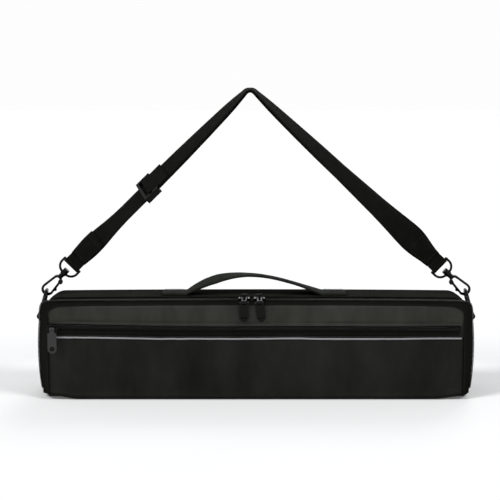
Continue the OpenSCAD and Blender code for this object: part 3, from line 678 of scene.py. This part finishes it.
class CASE_OT_lid(bpy.types.Operator):
    """Builds the front strip, pocket, piping and seams of the lid"""

    bl_idname = "flute_case.lid"
    bl_label = "Lid and pocket"

    def execute(self, context):
        p = context.scene.flute_case
        puff, folds = p.puff / MM, p.folds / MM
        side = LID_SIDE

        def upper_z(x, v):
            """Height of the strip above the pocket's zip."""
            low = WINDOW_TOP - 0.4 + sag(x) * 0.9
            return low + (arch_top(x, 1.3) - low) * v

        def upper_y(x, z, v):
            """Its depth: crowned, rolled in at the top and ends, with a hem along the zip."""
            u = abs(x) / side
            out = puff * 0.8 * math.sin(math.pi * min(1, v * 0.9 + 0.1)) ** 0.7 * (1 - u ** 8)
            roll = 1.1 * smooth(0.9, 1.0, v) + 1.2 * smooth(0.985, 1.0, u)
            hem = -0.55 + 0.75 * smooth(0.08, 0.15, v) * (1 - smooth(0.15, 0.30, v))
            fall = 1.5 * smooth(0.75, 1.0, u)
            slack = wrinkle(x, z, folds * 0.55) * (1 - v ** 3) * (1 - u ** 10)
            slack *= smooth(0.1, 0.3, v)
            hold = 0.6 + 1.5 * smooth(0.25, 0.5, v)
            depth = fall + slack + hem * (1 - v) - out * (0.3 + 0.7 * v)
            return FRONT + min(hold, depth) + roll

        xs = spread(-side, side, 170, 0.35)
        rows = panel_rows(xs, upper_z, spread(0, 1, 26, 0.3), upper_y)
        mesh = grid("Lid_Upper_Panel", rows)
        plane_uv(mesh)
        piece("Lid_Upper_Panel", mesh, MATS["strip"], "lid", "upper_front_panel",
              slot="nylon_strip", thick=CLOTH_T)

        def pocket_z(x, v):
            """Height of the pocket's panel."""
            return 1.6 + (WINDOW_LOW - 1.6 + sag(x) * 0.5) * v

        def pocket_y(x, z, v):
            """Its depth: crowned, creased near the ends, held flat along the zip."""
            u = abs(x) / side
            crown = 1.25 * math.sin(math.pi * min(1, v * 0.92 + 0.04)) ** 0.6
            out = puff * crown * (1 - u ** 6)
            roll = 1.2 * smooth(0.05, 0.0, v) + 1.4 * smooth(0.985, 1.0, u)
            fall = 2.0 * smooth(0.55, 1.0, u)
            crease = abs(x) - (side - 5 - 16 * (1 - v) ** 1.3)
            fall += 0.5 * smooth(-4, 8, crease) + 0.6 * math.exp(-(crease / 3.0) ** 2)
            fall *= smooth(0.0, 0.14, v)
            slack = wrinkle(x, z, folds) * (1 - u ** 12) * smooth(0, 0.12, v)
            slack *= 1 - 0.35 * v
            slack += lump(x, 0, z * 0.15, 10, 0.55, 21) * smooth(0.5, 0.9, v) * (1 - u ** 12)
            hold = 0.75 + 0.6 * smooth(0.1, 0.3, 1 - v)
            return FRONT + min(hold, fall + slack - out) + roll

        rows = panel_rows(xs, pocket_z, spread(0, 1, 46, 0.3), pocket_y)
        mesh = grid("Lid_Pocket_Panel", rows)
        plane_uv(mesh)
        piece("Lid_Pocket_Panel", mesh, MATS["nylon"], "lid", "pocket_panel",
              slot="nylon_panel", thick=CLOTH_T)

        line = []
        for x in spread(-side + 3, side - 3, 120):
            v = 1 - 2.6 / (WINDOW_LOW + sag(x) * 0.5)
            z = pocket_z(x, v)
            line.append(soft((x, pocket_y(x, z, v) - 0.35, z)))
        piece("Pocket_Piping", [tube(line, 0.9, 8)], MATS["silver"], "lid", "pocket_piping",
              slot="silver_piping")

        parts = []
        for v, fn_z, fn_y in ((0.16, upper_z, upper_y), (0.06, pocket_z, pocket_y)):
            parts += stitches([soft((x, fn_y(x, fn_z(x, v), v) - 0.15, fn_z(x, v)))
                               for x in spread(-side + 4, side - 4, 90)])
        for s in (-1, 1):
            x = s * (side - 3.5)
            parts += stitches([soft((x, pocket_y(x, pocket_z(x, v), v) - 0.15, pocket_z(x, v)))
                               for v in spread(0.05, 0.97, 20)])
        piece("Lid_Stitches", parts, MATS["thread"], "lid")

        for s, name in ((-1, "Left"), (1, "Right")):
            rows = []
            for z in spread(WINDOW_LOW - 2, WINDOW_TOP + 4, 8):
                rows.append([soft((s * (side - inward), FRONT + 0.68 + 0.08 * i,
                                   z + zip_sag(s * (side - inward))))
                             for i, inward in enumerate((0, 2, 4.5, 5.5))])
            mesh = grid("Lid_Pocket_End_" + name, rows, flip=s > 0)
            piece("Lid_Pocket_End_" + name, mesh, MATS["nylon"], "lid", slot="nylon_panel",
                  thick=TAPE_T)

        welt("Lid_Welt", LID_INSET, FRONT + 0.7, 1.5, 0.7, "lid", "nylon_strip")
        return {"FINISHED"}


class CASE_OT_pocket_zip(bpy.types.Operator):
    """Builds the tapes and coils of the pocket's zip"""

    bl_idname = "flute_case.pocket_zip"
    bl_label = "Pocket zip"

    def execute(self, context):
        xs = spread(-LID_SIDE + 2, LID_SIDE - 2, 120)
        for node, z0, z1 in (("pocket_tape_upper", POCKET_ZIP + 0.6, WINDOW_TOP + 5),
                             ("pocket_tape_lower", WINDOW_LOW - 5, POCKET_ZIP - 0.6)):
            rows = []
            for v in spread(0, 1, 6):
                z = z0 + (z1 - z0) * v
                rows.append([soft((x, FRONT + 1.15 + lump(x, 0, z, 9, 0.25, 2), z + zip_sag(x)))
                             for x in xs])
            name = node.title()
            piece(name, grid(name, rows), MATS["tape"], "lid", node, slot="zip_tape", thick=TAPE_T)
        half = LID_SIDE - COIL_MARGIN
        steps = int(2 * half / COIL_PITCH) * COIL_POINTS
        for node, s in (("pocket_coil_upper", 1), ("pocket_coil_lower", -1)):
            line = []
            for k in range(steps + 1):
                a = TAU * k / COIL_POINTS
                x = -half + 2 * half * k / steps
                z = POCKET_ZIP + s * (1.0 - COIL_REACH * math.cos(a)) + zip_sag(x)
                y = FRONT + 0.5 - COIL_RISE * math.sin(a)
                line.append(soft((x + 0.3 * math.sin(a), y, z)))
            name = node.title()
            piece(name, [tube(line, COIL_WIRE, 4)], MATS["coil"], "lid", node, slot="zip_coil")
        return {"FINISHED"}


class CASE_OT_main_zip(bpy.types.Operator):
    """Builds the tapes and coils of the main zip"""

    bl_idname = "flute_case.main_zip"
    bl_label = "Main zip"

    def execute(self, context):
        for name, body, node, ys in (
                ("Shell_Zip_Tape", "case", "case_zip_tape",
                 (2.0, -1.0, -4.0, -8, -12, -15, -17, -18.5, -19.4)),
                ("Lid_Zip_Tape", "lid", "lid_zip_tape",
                 (-20.6, -21.5, -23, -25, -28, -31, -33.2, -34.2, -34.6))):
            prof = []
            for y in ys:
                ripple = 0.25 * math.sin(y * 1.1)
                prof.append((y, -TAPE_SINK + ripple + (0.1 if y > -4 else 0)))
            prof += [(y, off - 0.8) for y, off in reversed(prof)]
            mesh = band(name, prof, 1.4, 3.2, 0.45, 6.0)
            piece(name, mesh, MATS["tape"], body, node, slot="zip_tape")
        for name, body, node, yc, s in (
                ("Shell_Zip_Coil", "case", "case_zip_coil", ZIP + 1.0, 1),
                ("Lid_Zip_Coil", "lid", "lid_zip_coil", ZIP - 1.0, -1)):
            outline = arch(-TAPE_SINK, at(node)[0].z, 1.5, 16)
            pts = resample([(x, 0, z) for x, z, _, _ in outline], 0.17)
            line = []
            for k, q in enumerate(pts):
                a = TAU * k / COIL_POINTS
                ahead = pts[min(k + 1, len(pts) - 1)] - pts[max(k - 1, 0)]
                n = Vector((-ahead.z, 0, ahead.x)).normalized()
                d = 0.75 + COIL_RISE * math.sin(a)
                y = yc + s * (0.15 - COIL_REACH * math.cos(a))
                line.append(soft((q.x + n.x * d, y, q.z + n.z * d)))
            coil = tube(line, COIL_WIRE, 4, False, (0, 1, 0))
            piece(name, [coil], MATS["coil"], body, node, slot="zip_coil")
        for node in ("case_zip_stops", "lid_zip_stops"):
            show(node, MATS["metal"], 0.3)
        return {"FINISHED"}


class CASE_OT_inside(bpy.types.Operator):
    """Builds the padding and lining"""

    bl_idname = "flute_case.inside"
    bl_label = "Padding and lining"

    def execute(self, context):
        prof = [(2.2, -1.0), (2.4, -5.6), (3.6, -6.0), (8, -5.7), (14, -5.5), (20, -5.6),
                (26, -5.8), (29.8, -5.9), (33.8, -1.1), (16, -1.05)]
        mesh = band("Gusset_Cushion", prof, 1.2, 6.0, 0.4, 9.0)
        obj = piece("Gusset_Cushion", mesh, MATS["lining"], "case", "gusset_pad", "case_lining",
                    slot="lining")
        for name, node, y_in, y_out, x_half, z0, z1, body, shape in (
                ("Back_Cushion", "back_pad", 29.2, 33.8, HALF - 6, 5.7, TOP - 6, "case", -1),
                ("Lid_Cushion", "lid_pad", -27.0, -31.2, HALF - 3.2, 2.0, TOP - 3.2, "lid", 1)):
            # y_in is the face towards the flute and y_out the one towards the panel
            xs = spread(-x_half, x_half, 80, 0.4)
            rows = []
            for v in spread(0, 1, 26, 0.4):
                row = []
                for x in xs:
                    top = arch_top(x, TOP - z1)
                    z = z0 + (top - z0) * v
                    u = abs(x) / x_half
                    edge = (1 - u ** 30) * (1 - abs(2 * v - 1) ** 12)
                    uneven = lump(x, 0, z, 30, 0.3, 4) * edge * 0.5
                    row.append((x, y_in - shape * (1.2 * edge - 1.0) + uneven, z))
                rows.append(row)
            flat = [[soft((q[0], y_out, q[2])) for q in row] for row in rows]
            rows = [[soft(q) for q in row] for row in rows]
            mesh = shell(name, rows, flat, shape < 0)
            nodes = (node,) if body == "case" else (node, "lid_lining")
            obj = piece(name, mesh, MATS["lining"], body, *nodes, slot="lining")
        b0, b1 = at("bottom_pad")
        xs = spread(b0.x + 0.2, b1.x - 0.2, 60, 0.4)
        ys = spread(b0.y + 0.3, b1.y - 0.5, 14, 0.4)
        rows = [[(x, y, b1.z + 0.6 - 0.5 * (abs(x) / HALF) ** 20 + lump(x, y, 0, 30, 0.25, 8))
                 for x in xs] for y in ys]
        flat = [[(q[0], q[1], 1.15) for q in row] for row in rows]
        obj = piece("Bottom_Cushion", shell("Bottom_Cushion", rows, flat, False), MATS["lining"],
                    "case", "bottom_pad", slot="lining")
        low, high = at("pocket_back_wall")

        def wall_z(x, v):
            """Height of the wall behind the pocket."""
            return low.z + 1 + (min(high.z - 1, arch_top(x, 3.0)) - low.z - 1) * v

        rows = panel_rows(spread(low.x + 1.5, high.x - 1.5, 80, 0.4), wall_z,
                          spread(0, 1, 16), lambda x, z, v: low.y + 0.05)
        piece("Pocket_Back_Wall", grid("Pocket_Back_Wall", rows), MATS["lining"], "lid",
              "pocket_back_wall", slot="lining", thick=high.y - low.y - 0.1)
        return {"FINISHED"}


def shell(name, top, bottom, flip):
    """Closed slab between two grids of points."""
    nv, nu = len(top), len(top[0])
    verts = [q for row in top for q in row] + [q for row in bottom for q in row]
    base = nu * nv
    faces = []
    for j in range(nv - 1):
        for i in range(nu - 1):
            a, b, c, d = j * nu + i, j * nu + i + 1, (j + 1) * nu + i + 1, (j + 1) * nu + i
            faces += [[a, b, c, d], [base + d, base + c, base + b, base + a]]
    edge = [(0, i) for i in range(nu - 1)] + [(j, nu - 1) for j in range(nv - 1)]
    edge += [(nv - 1, i) for i in range(nu - 1, 0, -1)] + [(j, 0) for j in range(nv - 1, 0, -1)]
    for k, (j, i) in enumerate(edge):
        j2, i2 = edge[(k + 1) % len(edge)]
        a, b = j * nu + i, j2 * nu + i2
        faces.append([b, a, base + a, base + b])
    if flip:
        faces = [f[::-1] for f in faces]
    uvs = [((verts[i][0]) / 10, (verts[i][1] + verts[i][2]) / 10) for f in faces for i in f]
    return join(name, [(verts, faces, uvs)])


class CASE_OT_sliders(bpy.types.Operator):
    """Finishes the sliders, links and pulls"""

    bl_idname = "flute_case.sliders"
    bl_label = "Sliders and pulls"

    def execute(self, context):
        for node in ("left_slider", "right_slider", "pocket_slider", "left_pull_link",
                     "right_pull_link", "left_pull", "right_pull"):
            show(node, MATS["metal"], 0.35, 3)
        show("pocket_pull", MATS["pull"], 0.35, 3)
        return {"FINISHED"}


# ---------- webbing ----------


def ribbon(name, stations, low, high, wave_h=0.0):
    """Webbing with thinner edges through stations, uneven by up to wave_h.

    A station is (centre, width direction, thickness direction, width).
    """
    prof = []
    mid = (low + high) / 2
    half_t = (high - low) / 2
    n = 8
    for sign in (1, -1):
        for k in range(n + 1):
            w = sign * (-1 + 2 * k / n)
            prof.append((w, mid + sign * (half_t * (1 - WEB_EDGE * abs(w) ** 6))))
    rows = []
    run, last = 0.0, None
    along = []
    for c, w, t, width in stations:
        if last is not None:
            run += (c - last).length
        along.append(run / 10)
        last = c
        rows.append([c + w * (a * width / 2) + t * (b + lump(run, a * 12, 0, 24, wave_h, 2))
                     for a, b in prof])
    width = stations[0][3] / 10

    def uv(i, j):
        return along[min(j, len(along) - 1)], (prof[i % len(prof)][0] + 1) / 2 * width

    mesh = grid(name, rows, closed_u=True, uv=uv)
    bm = bmesh.new()
    bm.from_mesh(mesh)
    bmesh.ops.holes_fill(bm, edges=[e for e in bm.edges if e.is_boundary])
    bmesh.ops.recalc_face_normals(bm, faces=bm.faces)
    bm.to_mesh(mesh)
    bm.free()
    return mesh


def lookup(t, table):
    """Value at t between the pairs of a table."""
    if t <= table[0][0]:
        return table[0][1]
    for (a, va), (b, vb) in zip(table, table[1:]):
        if t <= b:
            return va + (vb - va) * (t - a) / (b - a)
    return table[-1][1]


def handle_station(x):
    """Station of the handle's arch over x."""
    s = max(0.0, min(1.0, (x - HANDLE_X + HANDLE_HALF) / (2 * HANDLE_HALF)))
    z = TOP + WEB_T + 0.4 + HANDLE_RISE * math.sin(math.pi * s ** 0.85)
    turn = math.radians(HANDLE_TWIST * lookup(s, TWIST_ALONG))
    return (Vector((x, HANDLE_Y, z)), Vector((0, math.cos(turn), math.sin(turn))),
            Vector((0, -math.sin(turn), math.cos(turn))), WEB_W)


class CASE_OT_handle(bpy.types.Operator):
    """Builds the webbing handle and its sewn ends"""

    bl_idname = "flute_case.handle"
    bl_label = "Handle"

    def execute(self, context):
        g0, g1 = at("handle_grip")
        stations = [handle_station(x) for x in spread(g0.x - 0.1, g1.x + 0.1, 60)]
        piece("Handle_Grip", ribbon("Handle_Grip", stations, -WEB_T, WEB_T), MATS["handle"],
              "handle", "handle_grip", slot="handle_webbing")
        for side, node in ((-1, "left_handle_end"), (1, "right_handle_end")):
            low, high = at(node)
            foot = HANDLE_X + side * HANDLE_HALF
            far = low.x if side < 0 else high.x
            grip = g0.x - 0.2 if side < 0 else g1.x + 0.2
            st = [handle_station(x) for x in spread(grip, foot, 16)]
            for x in spread(foot + side * 1.5, far, 12):
                st.append((Vector((x, HANDLE_Y, TOP + WEB_T - 0.1)), Vector((0, 1, 0)),
                           Vector((0, 0, 1)), WEB_W))
            if side < 0:
                st.reverse()
            name = "Handle_End_" + ("Left" if side < 0 else "Right")
            piece(name, ribbon(name, st, -WEB_T, WEB_T, 0.2), MATS["handle"], "case", node,
                  slot="handle_webbing")
            x0, x1 = sorted((foot + side * 4, far - side * 2.5))
            y0, y1 = HANDLE_Y - 10, HANDLE_Y + 10
            z = TOP + 2 * WEB_T + 0.05
            box = [(x0, y0), (x1, y0), (x1, y1), (x0, y1), (x0, y0), (x1, y1)]
            parts = stitches([(x, y, z) for x, y in box], TACK)
            parts += stitches([(x0, y1, z), (x1, y0, z)], TACK)
            piece(name + "_Stitches", parts, MATS["thread"], "case")
        return {"FINISHED"}


class CASE_OT_strap(bpy.types.Operator):
    """Builds the strap's webbing layers and loops and finishes the adjuster"""

    bl_idname = "flute_case.strap"
    bl_label = "Shoulder strap"

    def execute(self, context):
        build_strap()
        show("strap_adjuster", MATS["metal"], 0.5, 3)
        return {"FINISHED"}


def build_strap():
    """Webbing of the strap along two straight legs and a small bend at the top."""
    lean = math.radians(RING_LEAN)
    contact = Vector((RING_X - RING_REACH * math.sin(lean), RING_Y,
                      RING_Z + RING_REACH * math.cos(lean)))
    top = Vector((APEX_X, RING_Y, APEX_Z))
    reaches = (top.x + contact.x, contact.x - top.x)
    rise = [math.atan2(top.z - contact.z, reach) for reach in reaches]
    legs = [math.hypot(top.z - contact.z, reach) - HOOK_L for reach in reaches]
    along = [Vector((math.cos(rise[0]), 0, math.sin(rise[0]))),
             Vector((math.cos(rise[1]), 0, -math.sin(rise[1])))]
    twists = (LEFT_TWIST, RIGHT_TWIST)
    widths = [(0, WEB_W), (0.86, WEB_W), (0.97, STRAP_END_W), (1, STRAP_END_W)]

    def eased(t, table):
        """Twist with the corners of its table rounded."""
        d = 0.02
        return sum(lookup(t + k * d, table) for k in (-2, -1, 0, 1, 2)) / 5

    def station(c, a, twist, width):
        """Station at c on a line along a, twisted by some degrees."""
        out = Vector((-a.z, 0, a.x))
        cs, sn = math.cos(math.radians(twist)), math.sin(math.radians(twist))
        return c, Vector((0, cs, 0)) + out * sn, out * cs - Vector((0, sn, 0)), width

    def leg(side, t):
        """Station on the left (0) or right (1) leg, with t from the apex to the hook."""
        sign = -1 if side == 0 else 1
        return station(top + along[side] * (sign * t * legs[side]), along[side],
                       eased(t, twists[side]), eased(t, widths))

    half = (rise[0] + rise[1]) / 2
    cut = APEX_R * math.tan(half)
    t0 = [cut / legs[0], cut / legs[1]]
    t1 = [1 - LOOP_L / legs[0], 1 - LOOP_L / legs[1]]
    reach = APEX_R / math.cos(half)
    tilt = (rise[0] - rise[1]) / 2
    hub = Vector((top.x + reach * math.sin(tilt), RING_Y, top.z - reach * math.cos(tilt)))
    bend = []
    for i in range(1, 16):
        turn = rise[0] - (rise[0] + rise[1]) * i / 16
        tw = lookup(i, [(0, eased(t0[0], twists[0])), (8, 0), (16, eased(t0[1], twists[1]))])
        bend.append(station(hub + APEX_R * Vector((-math.sin(turn), 0, math.cos(turn))),
                            Vector((math.cos(turn), 0, math.sin(turn))), tw, WEB_W))

    def left(a, b, n):
        """Left leg from a to b."""
        return [leg(0, t) for t in spread(a, b, n)]

    def right(shift):
        """Right leg with its layer slid sideways, most near the hook."""
        out = []
        for t in spread(t0[1], t1[1], 110):
            c, w, n, width = leg(1, t)
            slid = shift * smooth(0.12, 0.75, t) * (1 - smooth(0.84, 0.96, t))
            out.append((c + w * slid, w, n, width))
        return out

    gap = LAYER / 2
    start = 1 - RETURN_END / legs[0]
    fold = 1 - FOLD_L / legs[0]
    for name, node, stations, low in (
            ("Strap_Main", "strap_main_layer", left(t1[0], t0[0], 110) + bend + right(3.0),
             -gap - WEB_T),
            ("Strap_Return", "strap_return_layer", left(start, t0[0], 70) + bend + right(-1.2),
             gap),
            ("Strap_Fold", "left_strap_fold", left(t1[0], fold, 24), gap)):
        high = -gap if low < 0 else gap + WEB_T
        piece(name, ribbon(name, stations, low, high), MATS["web"], "strap", node,
              slot="strap_webbing")
    for node in ("left_strap_loop", "right_strap_loop", "adjuster_loop"):
        show(node, MATS["web"], 0.3)

    parts = []
    for side, far in ((0, 33), (1, 34)):
        t_in, t_out = 1 - far / legs[side], 1 - 12 / legs[side]
        corners = [(t_in, -0.8), (t_in, 0.8), (t_out, 0.8), (t_out, -0.8), (t_in, -0.8)]
        for face in (1, -1):
            pts = []
            for (ta, aa), (tb, ab) in zip(corners, corners[1:]):
                for k in range(12):
                    t, a = ta + (tb - ta) * k / 12, aa + (ab - aa) * k / 12
                    c, w, n, width = leg(side, t)
                    pts.append(c + w * (a * width / 2) + n * face * (gap + WEB_T + 0.05))
            parts += stitches(pts, TACK)
    piece("Strap_Stitches", parts, MATS["thread"], "strap")


class CASE_OT_fittings(bpy.types.Operator):
    """Finishes the ring tabs, D-rings and swivel hooks"""

    bl_idname = "flute_case.fittings"
    bl_label = "Rings and hooks"

    def execute(self, context):
        for side in ("left_", "right_"):
            show(side + "ring_tab", MATS["web"], 0.4)
            show(side + "d_ring", MATS["metal"])
            show(side + "hook_claw", MATS["metal"], 0.55, 3)
            show(side + "hook_gate", MATS["metal"], 0.35)
            show(side + "gate_pin", MATS["metal"], 0.2)
            show(side + "hook_eye", MATS["metal"], 0.3)
        return {"FINISHED"}


def seen_rays(nt):
    """1 for camera, glossy and transmission rays, 0 for the rest."""
    rays = nt.nodes.new("ShaderNodeLightPath")
    seen = rays.outputs["Is Camera Ray"]
    for name in ("Is Glossy Ray", "Is Transmission Ray"):
        seen = larger(nt, seen, rays.outputs[name])
    return seen


class CASE_OT_stage(bpy.types.Operator):
    """Adds the floor, the lights and the camera"""

    bl_idname = "flute_case.stage"
    bl_label = "Stage"

    def execute(self, context):
        s = context.scene.flute_case_stage
        m, nt, b = new_material("Floor")
        put(b, Base_Color=(*s.floor_color, 1), Roughness=0.9, Specular_IOR_Level=0.0,
            Emission_Color=(1, 1, 1, 1))
        # A slight glow that only the camera and mirror rays see keeps the floor near white
        glow = nt.nodes.new("ShaderNodeMath")
        glow.operation = "MULTIPLY"
        glow.inputs[1].default_value = 0.1
        nt.links.new(seen_rays(nt), glow.inputs[0])
        nt.links.new(glow.outputs[0], b.inputs["Emission Strength"])
        rows = []
        for k in range(60):
            y = -2600 + 5200 * k / 59
            rows.append([(x, y, -0.2) for x in (-3500, 0, 3500)])
        mesh = grid("Floor", rows)
        mesh.materials.append(m)
        floor = bpy.data.objects.new("Floor", mesh)
        context.scene.collection.objects.link(floor)

        def sun(name, azimuth, height, strength, spread_deg):
            """Soft sun from an azimuth and a height above the floor, in degrees."""
            data = bpy.data.lights.new(name, "SUN")
            data.energy = strength * s.light
            data.angle = math.radians(spread_deg)
            obj = bpy.data.objects.new(name, data)
            obj.rotation_euler = (math.radians(90 - height), 0, math.radians(azimuth))
            context.scene.collection.objects.link(obj)

        sun("Key_Left", -58, 42, 1.45, 16)
        sun("Key_Right", 55, 42, 0.95, 16)
        sun("Back_Top", 165, 38, 0.6, 25)
        # The world lights the case at a plain level and is seen as a white background
        world = bpy.data.worlds.new("World")
        context.scene.world = world
        world.use_nodes = True
        nt = world.node_tree
        fill = nt.nodes["Background"]
        put(fill, Color=(0.96, 0.98, 1.0, 1), Strength=0.36)
        white = add(nt, "ShaderNodeBackground", Color=(0.985, 0.985, 0.985, 1), Strength=1.0)
        mix = nt.nodes.new("ShaderNodeMixShader")
        nt.links.new(seen_rays(nt), mix.inputs[0])
        nt.links.new(fill.outputs[0], mix.inputs[1])
        nt.links.new(white.outputs[0], mix.inputs[2])
        nt.links.new(mix.outputs[0], nt.nodes["World Output"].inputs["Surface"])

        data = bpy.data.cameras.new("Camera")
        data.sensor_width = 36
        data.lens = 141.5
        data.shift_x = -0.012
        data.clip_end = 50
        cam = bpy.data.objects.new("Camera", data)
        cam.location = (0, -1.965, 0.508)
        aim = Vector((0, -0.035, 0.154)) - Vector(cam.location)
        cam.rotation_euler = aim.to_track_quat("-Z", "Y").to_euler()
        context.scene.collection.objects.link(cam)
        context.scene.camera = cam
        context.scene.view_settings.view_transform = "Standard"
        context.scene.render.resolution_x = 1000
        context.scene.render.resolution_y = 1000
        return {"FINISHED"}


class CASE_PT_panel(bpy.types.Panel):
    """Lists the case's pieces in the sidebar"""

    bl_idname = "CASE_PT_panel"
    bl_label = "Flute case"
    bl_space_type = "VIEW_3D"
    bl_region_type = "UI"
    bl_category = "Case"

    def draw(self, context):
        column = self.layout.column()
        for props in (context.scene.flute_case, context.scene.flute_case_stage):
            for key in props.bl_rna.properties.keys():
                if key not in ("rna_type", "name"):
                    column.prop(props, key)
        for op in OPERATORS:
            column.operator(op.bl_idname)


OPERATORS = (CASE_OT_body, CASE_OT_lid, CASE_OT_pocket_zip, CASE_OT_main_zip, CASE_OT_inside,
             CASE_OT_sliders, CASE_OT_handle, CASE_OT_strap, CASE_OT_fittings, CASE_OT_stage)
CLASSES = (CaseProperties, StageProperties, *OPERATORS, CASE_PT_panel)


def register():
    """Adds the classes and the scene's properties"""
    for c in CLASSES:
        bpy.utils.register_class(c)
    bpy.types.Scene.flute_case = bpy.props.PointerProperty(type=CaseProperties)
    bpy.types.Scene.flute_case_stage = bpy.props.PointerProperty(type=StageProperties)


def unregister():
    """Takes the classes and the properties away again"""
    del bpy.types.Scene.flute_case_stage
    del bpy.types.Scene.flute_case
    for c in reversed(CLASSES):
        bpy.utils.unregister_class(c)


def main():
    """Builds every piece and the stage"""
    register()
    bpy.ops.flute_case.body()
    bpy.ops.flute_case.lid()
    bpy.ops.flute_case.pocket_zip()
    bpy.ops.flute_case.main_zip()
    bpy.ops.flute_case.inside()
    bpy.ops.flute_case.sliders()
    bpy.ops.flute_case.handle()
    bpy.ops.flute_case.strap()
    bpy.ops.flute_case.fittings()
    bpy.ops.flute_case.stage()


if __name__ == "__main__":
    main()
